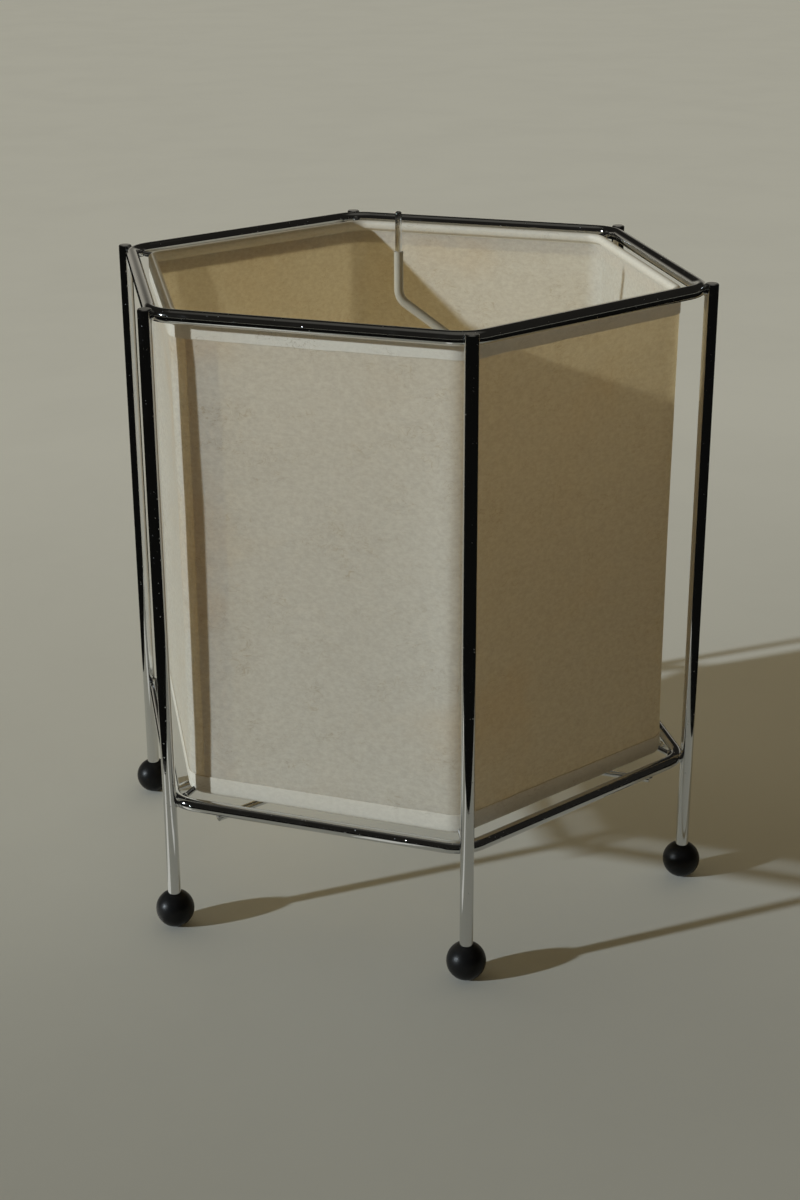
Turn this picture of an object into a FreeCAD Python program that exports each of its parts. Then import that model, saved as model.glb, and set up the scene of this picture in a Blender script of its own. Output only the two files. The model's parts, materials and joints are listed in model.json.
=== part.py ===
"""Table lamp: a hexagonal paper shade inside a frame of bright wire on six ball feet.

Millimetres, +Z up. The origin is on the floor under the middle of the lamp, and leg 3 stands at -Y.
"""
import FreeCAD, Part
import math
import os
import re

import Sketcher

# Driving dimensions: alias, value, meaning
DIMENSIONS = (
    ("leg_circle", 140.0, "radius of the circle through the legs"),
    ("leg_dia", 6.0, "leg wire"),
    ("leg_top", 287.2, "height of the leg tops"),
    ("leg_chamfer", 0.4, "broken edge of a leg top"),
    ("ball_dia", 17.5, "ball foot"),
    ("ball_flat", 5.0, "flat that a ball rests on"),
    ("socket_depth", 9.0, "depth of the leg in its ball"),
    ("ring_dia", 6.0, "wire of the two frame rings"),
    ("ring_bend", 16.0, "bend of a frame ring on its centre line"),
    ("bottom_ring_height", 61.3, "centre of the lower frame ring"),
    ("weld_sink", 0.5, "depth that welded wires sink into each other"),
    ("shade_below_legs", 2.6, "upper edge of the shade under the leg tops"),
    ("shade_above_ring", 2.3, "lower edge of the shade over the lower ring's centre"),
    ("shade_apothem", 111.3, "axis to the outside of the shade's hems, square to a face"),
    ("hoop_dia", 2.5, "wire of the hoops inside the hems"),
    ("hoop_bend", 10.0, "bend of a hoop on its centre line"),
    ("paper_thick", 0.4, "paper wall"),
    ("hem_thick", 0.3, "paper strip of a hem"),
    ("top_hem_height", 9.5, "hoop centre to the free edge of the upper hem"),
    ("bottom_hem_height", 7.2, "hoop centre to the free edge of the lower hem"),
    ("hem_tuck", 4.0, "height over which a hem closes in under its hoop"),
    ("glue_gap", 0.05, "glue line between papers and wires"),
    ("lap_width", 14.0, "overlap of the sheet's two ends"),
    ("lap_gap", 0.3, "lap to the hems"),
    ("spoke_dia", 2.5, "spokes between the frame rings and the hoops"),
    ("spoke_hole_gap", 0.1, "room round a spoke in the paper"),
    ("arm_dia", 3.2, "wires that carry the lampholder"),
    ("arm_offset", 18.5, "arm to the diagonal beside it"),
    ("arm_inset", 16.0, "inner end of an arm, along the diagonal"),
    ("arm_past_ring", 0.3, "arm end past the ring's centre line"),
    ("plate_margin", 6.0, "edge of the lampholder plate past the rod"),
    ("plate_thick", 1.5, "lampholder plate"),
    ("thread_gap", 0.05, "play round a threaded piece"),
    ("nipple_dia", 10.0, "hollow threaded nipple"),
    ("nipple_bore", 7.2, "hollow threaded nipple"),
    ("nipple_below", 12.0, "nipple end below the plate"),
    ("nipple_above", 7.5, "nipple end above the plate"),
    ("nut_flats", 14.0, "nipple nuts across flats"),
    ("nut_thick", 3.5, "nipple nuts"),
    ("washer_dia", 18.0, "lock washer"),
    ("washer_thick", 1.0, "lock washer"),
    ("bush_dia", 13.0, "flange of the cord bush"),
    ("bush_flange", 2.0, "thickness of the bush's flange"),
    ("bush_depth", 8.0, "bush inside the nipple"),
    ("bush_bore", 6.0, "hole for the cord"),
    ("holder_wall", 2.0, "lampholder wall"),
    ("holder_foot_dia", 25.0, "underside of the lampholder cap"),
    ("cap_cone", 7.0, "height of the cap's tapered foot"),
    ("cap_height", 22.0, "lampholder cap"),
    ("shell_height", 30.0, "lampholder shell above the cap"),
    ("block_ledge", 1.5, "ledge in the cap under the contact block"),
    ("block_low", 12.0, "underside of the contact block above the cap's foot"),
    ("block_top", 24.0, "top of the contact block above the cap's foot"),
    ("terminal_offset", 9.0, "terminal screws from the axis"),
    ("terminal_dia", 3.0, "terminal screw shank"),
    ("terminal_head", 5.5, "terminal screw head"),
    ("terminal_head_thick", 2.0, "terminal screw head"),
    ("terminal_length", 8.0, "terminal screw in the block"),
    ("socket_bore", 27.1, "inside of the brass screw shell"),
    ("socket_wall", 0.4, "brass screw shell"),
    ("socket_height", 22.0, "brass screw shell"),
    ("socket_flange", 1.0, "flange round the foot of the screw shell"),
    ("socket_room", 0.55, "lampholder round the screw shell's flange"),
    ("contact_dia", 10.0, "centre contact"),
    ("contact_leaf", 0.8, "leaf of the centre contact"),
    ("contact_height", 2.0, "centre contact with its raised middle"),
    ("seat_gap", 0.3, "bulb tip to the centre contact"),
    ("tip_dia", 9.0, "contact in the bulb's tip"),
    ("tip_thick", 1.6, "contact in the bulb's tip"),
    ("tip_stub_dia", 4.0, "lead wire seal on the tip contact"),
    ("tip_stub", 2.4, "lead wire seal on the tip contact"),
    ("tip_gap", 0.1, "play round the tip contact"),
    ("insulator_low_dia", 12.0, "small end of the bulb's insulator"),
    ("insulator_dia", 20.0, "large end of the bulb's insulator"),
    ("insulator_top", 5.5, "top of the insulator above the tip"),
    ("thread_dia", 26.2, "crest of the bulb's thread"),
    ("thread_depth", 0.6, "depth of the bulb's thread"),
    ("thread_pitch", 3.629, "pitch of the bulb's thread"),
    ("thread_start", 7.5, "foot of the thread above the tip"),
    ("bulb_cap_height", 25.5, "top of the metal cap above the tip"),
    ("skirt_height", 3.5, "plain skirt above the thread"),
    ("bulb_cap_wall", 0.5, "metal cap"),
    ("neck_dia", 25.4, "neck of the glass"),
    ("neck_top", 34.0, "end of the straight neck above the tip"),
    ("globe_dia", 60.0, "round part of the glass"),
    ("bulb_length", 106.0, "bulb from tip to crown"),
    ("glass_wall", 0.8, "glass"),
    ("stem_dia", 7.0, "glass stem inside the bulb"),
    ("stem_flare", 3.0, "height of the stem's flared foot"),
    ("filament_dia", 0.8, "filament wire"),
    ("filament_span", 26.0, "width of the filament"),
    ("filament_rise", 18.0, "filament, at the middle of the globe, above the stem"),
    ("filament_bend", 1.6, "bend of the filament wire"),
    ("rod_dia", 3.0, "cranked lifting rod"),
    ("rod_above_legs", 23.2, "top of the rod over the leg tops"),
    ("rod_round", 1.2, "rounding of the rod's tip"),
    ("crank_below_legs", 16.2, "upper bend of the rod under the leg tops"),
    ("rod_slope", 35.5, "slope of the cranked stretch, degrees"),
    ("rod_reach", 38.0, "axis to the rod's upright stretch"),
    ("rod_aside", 2.5, "axis to the rod's upper end, away from the crank"),
    ("rod_bend", 8.0, "bends of the rod on its centre line"),
    ("rod_below", 9.0, "rod end below the plate"),
    ("rod_turn", -20.0, "direction of the crank seen from above, degrees"),
    ("sleeve_dia", 4.2, "sleeve on the rod"),
    ("sleeve_above_legs", 5.1, "upper end of the sleeve over the leg tops"),
    ("sleeve_low", 14.0, "lower end of the sleeve above the plate"),
    ("rod_nut_flats", 5.5, "rod nuts across flats"),
    ("rod_nut_thick", 2.4, "rod nuts"),
)

# Places that follow from the driving dimensions
DERIVED = {
    "ball_height": "sqrt(ball_dia ^ 2 - ball_flat ^ 2) / 2",
    "leg_low": "ball_height + ball_dia / 2 - socket_depth",
    "ring_apex": "leg_circle - leg_dia / 2 - ring_dia / 2 + weld_sink",
    "ring_apothem": "(ring_apex - ring_bend) * cos(30) + ring_bend",
    "top_ring_height": "leg_top - ring_dia / 2",
    "shade_top": "leg_top - shade_below_legs",
    "shade_bottom": "bottom_ring_height + shade_above_ring",
    "paper_inside": "hoop_dia / 2 + glue_gap",
    "paper_outside": "paper_inside + paper_thick",
    "hem_cap": "(hoop_dia + paper_thick) / 2 + 1.5 * glue_gap",
    "hem_shift": "(paper_thick + glue_gap) / 2",
    "hoop_apothem": "shade_apothem - hem_thick - glue_gap - paper_outside",
    "hoop_apex": "(hoop_apothem - hoop_bend) / cos(30) + hoop_bend",
    "top_hoop_height": "shade_top - hem_cap - hem_thick",
    "bottom_hoop_height": "shade_bottom + hem_cap + hem_thick",
    "face_half": "(hoop_apothem - hoop_bend) * tan(30)",
    "arm_height": "bottom_ring_height - ring_dia / 2 - arm_dia / 2 + weld_sink",
    "arm_out": "(ring_apothem - arm_offset * sin(30)) / cos(30) + arm_past_ring",
    "plate_low": "arm_height + arm_dia / 2 - weld_sink",
    "plate_top": "plate_low + plate_thick",
    "nipple_hole": "nipple_dia / 2 + thread_gap",
    "cap_bore": "socket_bore / 2 + socket_wall + socket_flange + socket_room + block_ledge",
    "holder_dia": "2 * (cap_bore + holder_wall)",
    "bulb_low": "plate_top + block_top + contact_height + seat_gap",
    "cap_inside": "thread_dia / 2 - thread_depth - bulb_cap_wall",
    "skirt_low": "bulb_cap_height - skirt_height",
    "globe_height": "bulb_length - globe_dia / 2",
    "neck_rise": "globe_height - neck_top",
    "neck_curve": "((neck_dia / 2) ^ 2 + neck_rise ^ 2 - (globe_dia / 2) ^ 2) / (globe_dia - neck_dia)",
    "globe_share": "(globe_dia / 2) / (globe_dia / 2 + neck_curve)",
    "stem_low": "skirt_low + tip_gap",
    "stem_top": "globe_height - filament_rise",
    "rod_low": "plate_low - rod_below",
    "rod_tip": "leg_top + rod_above_legs",
    "rod_crank": "leg_top - crank_below_legs",
    "sleeve_top": "leg_top + sleeve_above_legs",
}

CORNERS = 6
CORNER_ANGLE = 60.0
FIRST_ANGLE = 150.0
ARM_CORNERS = (2, 4, 6)
LAP_ANGLE = -120.0
THREAD_TURNS = 4

# Sketcher's numbers for a sketch's own origin and axes, and for the ends of an edge
H_AXIS, V_AXIS = range(-1, -3, -1)
ORIGIN = H_AXIS
START, END, CENTRE = range(1, 4)

# The two ways that an arc can turn
LEFT, RIGHT = range(1, -2, -2)

doc = FreeCAD.newDocument("paper_lamp")
sheet = doc.addObject("Spreadsheet::Sheet", "Sheet")
for row, (alias, size, meaning) in enumerate(DIMENSIONS, start=1):
    sheet.set("A%d" % row, meaning)
    sheet.set("B%d" % row, str(size))
    sheet.setAlias("B%d" % row, alias)
doc.recompute()

ALIASES = {alias for alias, size, meaning in DIMENSIONS}
NODES = []


# Formulas

def formula(text):
    """Write a formula in the sheet's aliases as an expression of the document."""
    def spelled_out(word):
        name = word.group()
        if name in DERIVED:
            return "(" + formula(DERIVED[name]) + ")"
        return "Sheet." + name if name in ALIASES else name
    return re.sub(r"[a-z][a-z_]*", spelled_out, text)


def measure(text):
    """Give a formula's value at the sheet's present sizes."""
    return float(sheet.evalExpression(formula(text)))


def bind(thing, **formulas):
    """Tie properties of a document object to formulas."""
    for name, text in formulas.items():
        thing.setExpression(name, formula(text))
    return thing


def put(thing, x="0", y="0", z="0", turn="0", axis="0; 0; 1"):
    """Tie the place of a document object, turned about an axis, to formulas."""
    place = "placement(vector(%s; %s; %s); rotation(vector(%s); %s))" % (x, y, z, axis, turn)
    thing.setExpression("Placement", formula(place))
    return thing


def node(thing, label):
    """Hand a finished sub-part in under its own name."""
    thing.Label = label
    NODES.append(thing)
    return thing


def corner_angle(number):
    """Give the direction of a corner of the hexagon: 1 to 6, with 3 at -Y."""
    return FIRST_ANGLE + CORNER_ANGLE * (number - 1)


# Sketches

def new_body(label):
    """Start a body."""
    return doc.addObject("PartDesign::Body", label + "_body")


def origin_feature(body, role):
    """Find one of a body's own planes or axes by its role."""
    return next(item for item in body.Origin.OriginFeatures if item.Role == role)


def new_sketch(body, plane):
    """Add a sketch on one of the body's own planes."""
    sketch = body.newObject("Sketcher::SketchObject", "Sketch")
    sketch.AttachmentSupport = [(origin_feature(body, plane), "")]
    sketch.MapMode = "FlatFace"
    return sketch


def add_size(sketch, constraint, text):
    """Add a dimension to a sketch and tie it to a formula."""
    number = sketch.addConstraint(constraint)
    name = "size_%d" % number
    sketch.renameConstraint(number, name)
    sketch.setExpression("Constraints." + name, formula(text))


def place_point(sketch, edge, end, x, y):
    """Tie one point of a sketch to the formulas of its two coordinates."""
    for kind, axis, text in (("DistanceX", V_AXIS, x), ("DistanceY", H_AXIS, y)):
        if text == "0":
            sketch.addConstraint(Sketcher.Constraint("PointOnObject", edge, end, axis))
        else:
            size = Sketcher.Constraint(kind, ORIGIN, START, edge, end, measure(text))
            add_size(sketch, size, text)


def point(x, y):
    """Give the present place of a sketch point."""
    return FreeCAD.Vector(measure(x), measure(y), 0)


def arc_between(first, last, radius, side):
    """Give the short arc between two points that turns left or right on its way."""
    chord = last - first
    half = chord.Length / 2
    left = FreeCAD.Vector(-chord.y, chord.x, 0).normalize()
    centre = (first + last) / 2 + left * side * math.sqrt(max(radius ** 2 - half ** 2, 0))
    ends = (first, last) if side == LEFT else (last, first)
    angles = [math.atan2(end.y - centre.y, end.x - centre.x) for end in ends]
    return Part.ArcOfCircle(Part.Circle(centre, FreeCAD.Vector(0, 0, 1), radius), *angles)


def closed_profile(sketch, corners):
    """Draw a closed outline through corners (x, y) or, before an arc, (x, y, radius, side)."""
    places = [point(corner[0], corner[1]) for corner in corners]
    edges = []
    for number, corner in enumerate(corners):
        first = places[number]
        last = places[(number + 1) % len(corners)]
        if len(corner) == 2:
            edges.append((sketch.addGeometry(Part.LineSegment(first, last)), START, END))
            continue
        edge = sketch.addGeometry(arc_between(first, last, measure(corner[2]), corner[3]))
        edges.append((edge, START, END) if corner[3] == LEFT else (edge, END, START))
    for number, corner in enumerate(corners):
        edge, start, end = edges[number]
        before, before_start, before_end = edges[number - 1]
        sketch.addConstraint(Sketcher.Constraint("Coincident", before, before_end, edge, start))
        place_point(sketch, edge, start, corner[0], corner[1])
        if len(corner) > 2:
            add_size(sketch, Sketcher.Constraint("Radius", edge, measure(corner[2])), corner[2])


def add_circle(sketch, radius, x="0", y="0"):
    """Draw a circle."""
    circle = Part.Circle(point(x, y), FreeCAD.Vector(0, 0, 1), measure(radius))
    edge = sketch.addGeometry(circle)
    add_size(sketch, Sketcher.Constraint("Radius", edge, measure(radius)), radius)
    place_point(sketch, edge, CENTRE, x, y)


def bent_path(sketch, corners, bend):
    """Draw an open path of straight runs whose inner corners are rounded by one bend radius."""
    places = [point(x, y) for x, y in corners]
    radius = measure(bend)
    ends = [places[0]]
    for before, here, after in zip(places, places[1:], places[2:]):
        back = (before - here).normalize()
        forward = (after - here).normalize()
        cut = radius / math.tan(back.getAngle(forward) / 2)
        ends += [here + back * cut, here + forward * cut]
    ends.append(places[-1])
    runs = [sketch.addGeometry(Part.LineSegment(ends[i], ends[i + 1])) for i in range(0, len(ends), 2)]
    for number in range(1, len(corners) - 1):
        first = ends[2 * number - 1]
        last = ends[2 * number]
        turn = (places[number] - places[number - 1]).cross(places[number + 1] - places[number]).z
        side = LEFT if turn > 0 else RIGHT
        arc = sketch.addGeometry(arc_between(first, last, radius, side))
        start, end = (START, END) if side == LEFT else (END, START)
        mark = sketch.addGeometry(Part.Point(places[number]), True)
        sketch.addConstraint(Sketcher.Constraint("Tangent", runs[number - 1], END, arc, start))
        sketch.addConstraint(Sketcher.Constraint("Tangent", runs[number], START, arc, end))
        sketch.addConstraint(Sketcher.Constraint("PointOnObject", mark, START, runs[number - 1]))
        sketch.addConstraint(Sketcher.Constraint("PointOnObject", mark, START, runs[number]))
        add_size(sketch, Sketcher.Constraint("Radius", arc, radius), bend)
        place_point(sketch, mark, START, *corners[number])
    place_point(sketch, runs[0], START, *corners[0])
    place_point(sketch, runs[-1], END, *corners[-1])


# Ways of making a piece

def turned(label, corners):
    """Make a piece on the lathe: an outline (radius, height) turned about Z."""
    body = new_body(label)
    sketch = new_sketch(body, "XZ_Plane")
    closed_profile(sketch, corners)
    lathe = body.newObject("PartDesign::Revolution", "Turned")
    lathe.Profile = sketch
    lathe.ReferenceAxis = (sketch, ["V_Axis"])
    lathe.Angle = 360
    return body


def swept(body, profile, path):
    """Sweep a profile sketch along every edge of a path sketch."""
    doc.recompute()
    pipe = body.newObject("PartDesign::AdditivePipe", "Pipe")
    pipe.Profile = profile
    pipe.Spine = (path, ["Edge%d" % (edge + 1) for edge in range(len(path.Shape.Edges))])
    return pipe


def hexagon(label, apothem, bend, draw):
    """Lead a section, drawn at the middle of the +X face, once round a hexagon with rounded corners."""
    body = new_body(label)
    path = new_sketch(body, "XY_Plane")
    middle = (apothem, "0")
    corner = (apothem, apothem + " * tan(30)")
    next_middle = (apothem + " * cos(60)", apothem + " * sin(60)")
    bent_path(path, (middle, corner, next_middle), bend)
    section = new_sketch(body, "XZ_Plane")
    draw(section)
    pipe = swept(body, section, path)
    ring = body.newObject("PartDesign::PolarPattern", "Round")
    ring.Originals = [pipe]
    ring.Axis = (origin_feature(body, "Z_Axis"), [""])
    ring.Angle = 360
    ring.Occurrences = CORNERS
    body.Tip = ring
    return body


def cylinder(label, radius, height):
    """Make a plain round bar."""
    return bind(doc.addObject("Part::Cylinder", label), Radius=radius, Height=height)


def cut(label, base, *tools):
    """Take tools away from a piece."""
    for number, tool in enumerate(tools):
        result = doc.addObject("Part::Cut", "%s_cut_%d" % (label, number))
        result.Base = base
        result.Tool = tool
        base = result
    return base


def group(label, *pieces):
    """Keep separate solids together."""
    result = doc.addObject("Part::Compound", label)
    result.Links = list(pieces)
    return result


def hex_nut(label, flats, thick, hole):
    """Make a hexagon nut standing on its place."""
    blank = doc.addObject("Part::Prism", label + "_blank")
    blank.Polygon = 6
    bind(blank, Circumradius=flats + " / 2 / cos(30)", Height=thick)
    return cut(label, blank, cylinder(label + "_hole", hole, thick))


# Frame rings and the hoops inside the shade's hems

def wire_section(apothem, dia):
    """Give the drawing of a round wire's section."""
    return lambda section: add_circle(section, dia + " / 2", x=apothem)


def make_ring(label, apothem, bend, dia, height):
    """Make a hexagonal ring of round wire at a height."""
    return node(put(hexagon(label, apothem, bend, wire_section(apothem, dia)), z=height), label)


top_ring = make_ring("top_ring", "ring_apothem", "ring_bend", "ring_dia", "top_ring_height")
bottom_ring = make_ring("bottom_ring", "ring_apothem", "ring_bend", "ring_dia", "bottom_ring_height")
top_hoop = make_ring("top_hoop", "hoop_apothem", "hoop_bend", "hoop_dia", "top_hoop_height")
bottom_hoop = make_ring("bottom_hoop", "hoop_apothem", "hoop_bend", "hoop_dia", "bottom_hoop_height")


# Legs and ball feet

for number in range(1, CORNERS + 1):
    angle = corner_angle(number)
    stand = {"x": "leg_circle * cos(%g)" % angle, "y": "leg_circle * sin(%g)" % angle}
    bar = turned("leg_bar_%d" % number, (
        ("0", "0"),
        ("leg_dia / 2", "0"),
        ("leg_dia / 2", "leg_top - leg_low - leg_chamfer"),
        ("leg_dia / 2 - leg_chamfer", "leg_top - leg_low"),
        ("0", "leg_top - leg_low")))
    put(bar, z="leg_low", **stand)
    node(cut("leg_%d" % number, bar, top_ring, bottom_ring), "leg_%d" % number)

    ball = bind(doc.addObject("Part::Sphere", "ball_%d" % number), Radius="ball_dia / 2",
                Angle1="-acos(ball_flat / ball_dia)")
    put(ball, z="ball_height", **stand)
    socket = cylinder("socket_%d" % number, "leg_dia / 2 + thread_gap", "socket_depth + ball_dia")
    put(socket, z="leg_low", **stand)
    node(cut("foot_%d" % number, ball, socket), "foot_%d" % number)


# Spokes from the rings to the hoops, and the holes that they need in the paper

def spoke_bar(label, angle, radius, ring_height, hoop_height):
    """Make a round bar from a hoop's corner to the ring's corner beside it."""
    run = "(ring_apex - hoop_apex)"
    rise = "(%s - %s)" % (ring_height, hoop_height)
    bar = cylinder(label, radius, "sqrt(%s ^ 2 + %s ^ 2)" % (run, rise))
    return put(bar, x="hoop_apex * cos(%g)" % angle, y="hoop_apex * sin(%g)" % angle, z=hoop_height,
               axis="-sin(%g); cos(%g); 0" % (angle, angle), turn="atan2(%s; %s)" % (run, rise))


spoke_holes = []
for end, ring, hoop in (("top", top_ring, top_hoop), ("bottom", bottom_ring, bottom_hoop)):
    heights = (end + "_ring_height", end + "_hoop_height")
    for number in range(1, CORNERS + 1):
        label = "%s_spoke_%d" % (end, number)
        angle = corner_angle(number)
        bar = spoke_bar(label + "_bar", angle, "spoke_dia / 2", *heights)
        node(cut(label, bar, ring, hoop), label)
        hole_radius = "spoke_dia / 2 + spoke_hole_gap"
        spoke_holes.append(spoke_bar(label + "_hole", angle, hole_radius, *heights))
spoke_room = group("spoke_room", *spoke_holes)


# Paper wall: one sheet, its ends lapped beside the corner at leg 2

def paper_section(section):
    """Draw the standing sheet between the two hoops."""
    inside = "hoop_apothem + paper_inside"
    outside = "hoop_apothem + paper_outside"
    tall = "top_hoop_height - bottom_hoop_height"
    closed_profile(section, ((inside, "0"), (outside, "0"), (outside, tall), (inside, tall)))


wall = put(hexagon("paper_wall", "hoop_apothem", "hoop_bend", paper_section), z="bottom_hoop_height")
lap = bind(doc.addObject("Part::Box", "lap"), Length="paper_thick", Width="lap_width",
           Height="top_hoop_height - bottom_hoop_height - top_hem_height - bottom_hem_height - 2 * lap_gap")
lap_out = "(hoop_apothem + paper_inside - paper_thick)"
put(lap, x="%s * cos(%g) + face_half * sin(%g)" % (lap_out, LAP_ANGLE, LAP_ANGLE),
    y="%s * sin(%g) - face_half * cos(%g)" % (lap_out, LAP_ANGLE, LAP_ANGLE),
    z="bottom_hoop_height + bottom_hem_height + lap_gap", turn="%g" % LAP_ANGLE)
lapped = doc.addObject("Part::Fuse", "lapped_wall")
lapped.Base = wall
lapped.Tool = lap
node(cut("shade_paper", lapped, spoke_room), "shade_paper")


# Hems: a strip of paper over each hoop, its inner leg drawn in under the hoop

def hem_section(leg):
    """Give the drawing of a strip round a hoop, with both legs hanging down by one height."""
    middle = "hoop_apothem + hem_shift"
    outer_face = "hoop_apothem + paper_outside + glue_gap"
    inner_face = "hoop_apothem - paper_inside"
    leg_face = "hoop_apothem + paper_inside - glue_gap"
    hoop_foot = leg + " - hoop_dia / 2"
    tuck_foot = hoop_foot + " - hem_tuck"
    return lambda section: closed_profile(section, (
        (outer_face + " + hem_thick", "0"),
        (outer_face + " + hem_thick", leg, "hem_cap + hem_thick", LEFT),
        (middle, leg + " + hem_cap + hem_thick", "hem_cap + hem_thick", LEFT),
        (inner_face + " - hem_thick", leg),
        (inner_face + " - hem_thick", hoop_foot),
        (leg_face + " - hem_thick", tuck_foot),
        (leg_face + " - hem_thick", "0"),
        (leg_face, "0"),
        (leg_face, tuck_foot),
        (inner_face, hoop_foot),
        (inner_face, leg, "hem_cap", RIGHT),
        (middle, leg + " + hem_cap", "hem_cap", RIGHT),
        (outer_face, leg),
        (outer_face, "0")))


for end, height, turn in (("top", "top_hoop_height - top_hem_height", "0"),
                          ("bottom", "bottom_hoop_height + bottom_hem_height", "180")):
    label = end + "_hem"
    strip = hexagon(label + "_strip", "hoop_apothem", "hoop_bend", hem_section(label + "_height"))
    put(strip, z=height, axis="1; 0; 0", turn=turn)
    node(cut(label, strip, spoke_room), label)


# Lampholder plate on six straight arms, in pairs beside every other diagonal

plate_blank = put(cylinder("plate_blank", "rod_reach + plate_margin", "plate_thick"), z="plate_low")
plate_hole = put(cylinder("plate_hole", "nipple_hole", "plate_thick"), z="plate_low")
rod_hole = put(cylinder("rod_hole", "rod_dia / 2 + thread_gap", "plate_thick"),
               x="rod_reach * cos(rod_turn)", y="rod_reach * sin(rod_turn)", z="plate_low")
holder_plate = node(cut("holder_plate", plate_blank, plate_hole, rod_hole), "holder_plate")

for number in range(1, CORNERS + 1):
    angle = corner_angle(ARM_CORNERS[(number - 1) // 2])
    beside = "arm_offset" if number % 2 else "-arm_offset"
    label = "holder_arm_%d" % number
    bar = cylinder(label + "_bar", "arm_dia / 2", "arm_out - arm_inset")
    put(bar, x="arm_inset * cos(%g) - (%s) * sin(%g)" % (angle, beside, angle),
        y="arm_inset * sin(%g) + (%s) * cos(%g)" % (angle, beside, angle), z="arm_height",
        axis="-sin(%g); cos(%g); 0" % (angle, angle), turn="90")
    node(cut(label, bar, bottom_ring, holder_plate), label)


# Nipple, its nuts and washer, and the bush that the cord comes in through

node(put(turned("nipple", (
    ("nipple_bore / 2", "0"),
    ("nipple_dia / 2", "0"),
    ("nipple_dia / 2", "nipple_below + plate_thick + nipple_above"),
    ("nipple_bore / 2", "nipple_below + plate_thick + nipple_above"))),
    z="plate_low - nipple_below"), "nipple")
under_nut = hex_nut("under_nut", "nut_flats", "nut_thick", "nipple_hole")
put(under_nut, z="plate_low - washer_thick - nut_thick")
inner_nut = hex_nut("inner_nut", "nut_flats", "nut_thick", "nipple_hole")
put(inner_nut, z="plate_top + holder_wall")
node(group("nipple_nuts", under_nut, inner_nut), "nipple_nuts")
washer = cut("lock_washer", cylinder("washer_blank", "washer_dia / 2", "washer_thick"),
             cylinder("washer_hole", "nipple_hole", "washer_thick"))
node(put(washer, z="plate_low - washer_thick"), "lock_washer")
node(put(turned("cord_bush", (
    ("bush_bore / 2", "0"),
    ("bush_dia / 2", "0"),
    ("bush_dia / 2", "bush_flange"),
    ("nipple_bore / 2 - thread_gap", "bush_flange"),
    ("nipple_bore / 2 - thread_gap", "bush_flange + bush_depth"),
    ("bush_bore / 2", "bush_flange + bush_depth"))),
    z="plate_low - nipple_below - bush_flange"), "cord_bush")


# Lampholder: cap, shell, contact block, screw shell, centre contact and terminal screws

node(put(turned("lampholder_cap", (
    ("nipple_hole", "0"),
    ("holder_foot_dia / 2", "0"),
    ("holder_dia / 2", "cap_cone"),
    ("holder_dia / 2", "cap_height"),
    ("cap_bore", "cap_height"),
    ("cap_bore", "block_low"),
    ("cap_bore - block_ledge", "block_low"),
    ("cap_bore - block_ledge", "cap_cone + holder_wall"),
    ("holder_foot_dia / 2 - holder_wall", "holder_wall"),
    ("nipple_hole", "holder_wall"))), z="plate_top"), "lampholder_cap")
node(put(turned("lampholder_shell", (
    ("cap_bore", "0"),
    ("holder_dia / 2", "0"),
    ("holder_dia / 2", "shell_height - holder_wall"),
    ("holder_dia / 2 - holder_wall / 2", "shell_height"),
    ("cap_bore - block_ledge", "shell_height"),
    ("cap_bore - block_ledge", "block_top - cap_height"),
    ("cap_bore", "block_top - cap_height"))), z="plate_top + cap_height"), "lampholder_shell")

block = cylinder("block_blank", "cap_bore - thread_gap", "block_top - block_low")
put(block, z="plate_top + block_low")
screws = []
screw_holes = []
for number, side in enumerate(("terminal_offset", "-terminal_offset")):
    shank = put(cylinder("shank_%d" % number, "terminal_dia / 2", "terminal_length"), x=side,
                z="plate_top + block_low")
    head = put(cylinder("head_%d" % number, "terminal_head / 2", "terminal_head_thick"), x=side,
               z="plate_top + block_low - terminal_head_thick")
    screw = doc.addObject("Part::Fuse", "screw_%d" % number)
    screw.Base = shank
    screw.Tool = head
    screws.append(screw)
    hole = cylinder("screw_hole_%d" % number, "terminal_dia / 2 + thread_gap",
                    "terminal_length + thread_gap")
    screw_holes.append(put(hole, x=side, z="plate_top + block_low"))
node(cut("contact_block", block, *screw_holes), "contact_block")
node(group("terminal_screws", *screws), "terminal_screws")
node(put(turned("screw_shell", (
    ("socket_bore / 2", "0"),
    ("socket_bore / 2 + socket_wall + socket_flange", "0"),
    ("socket_bore / 2 + socket_wall + socket_flange", "socket_wall"),
    ("socket_bore / 2 + socket_wall", "socket_wall"),
    ("socket_bore / 2 + socket_wall", "socket_height"),
    ("socket_bore / 2", "socket_height"))), z="plate_top + block_top"), "screw_shell")
node(put(turned("centre_contact", (
    ("0", "0"),
    ("contact_dia / 2", "0"),
    ("contact_dia / 2", "contact_leaf"),
    ("contact_dia / 4", "contact_height"),
    ("0", "contact_height"))), z="plate_top + block_top"), "centre_contact")


# Bulb: heights above its tip

def thread_outline():
    """Give the crests and roots of the bulb's thread, from its foot upwards."""
    corners = []
    for turn in range(THREAD_TURNS):
        foot = "thread_start + %g * thread_pitch" % turn
        crest = "thread_start + %g * thread_pitch" % (turn + 0.5)
        corners += [("thread_dia / 2 - thread_depth", foot), ("thread_dia / 2", crest)]
    return corners


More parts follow.
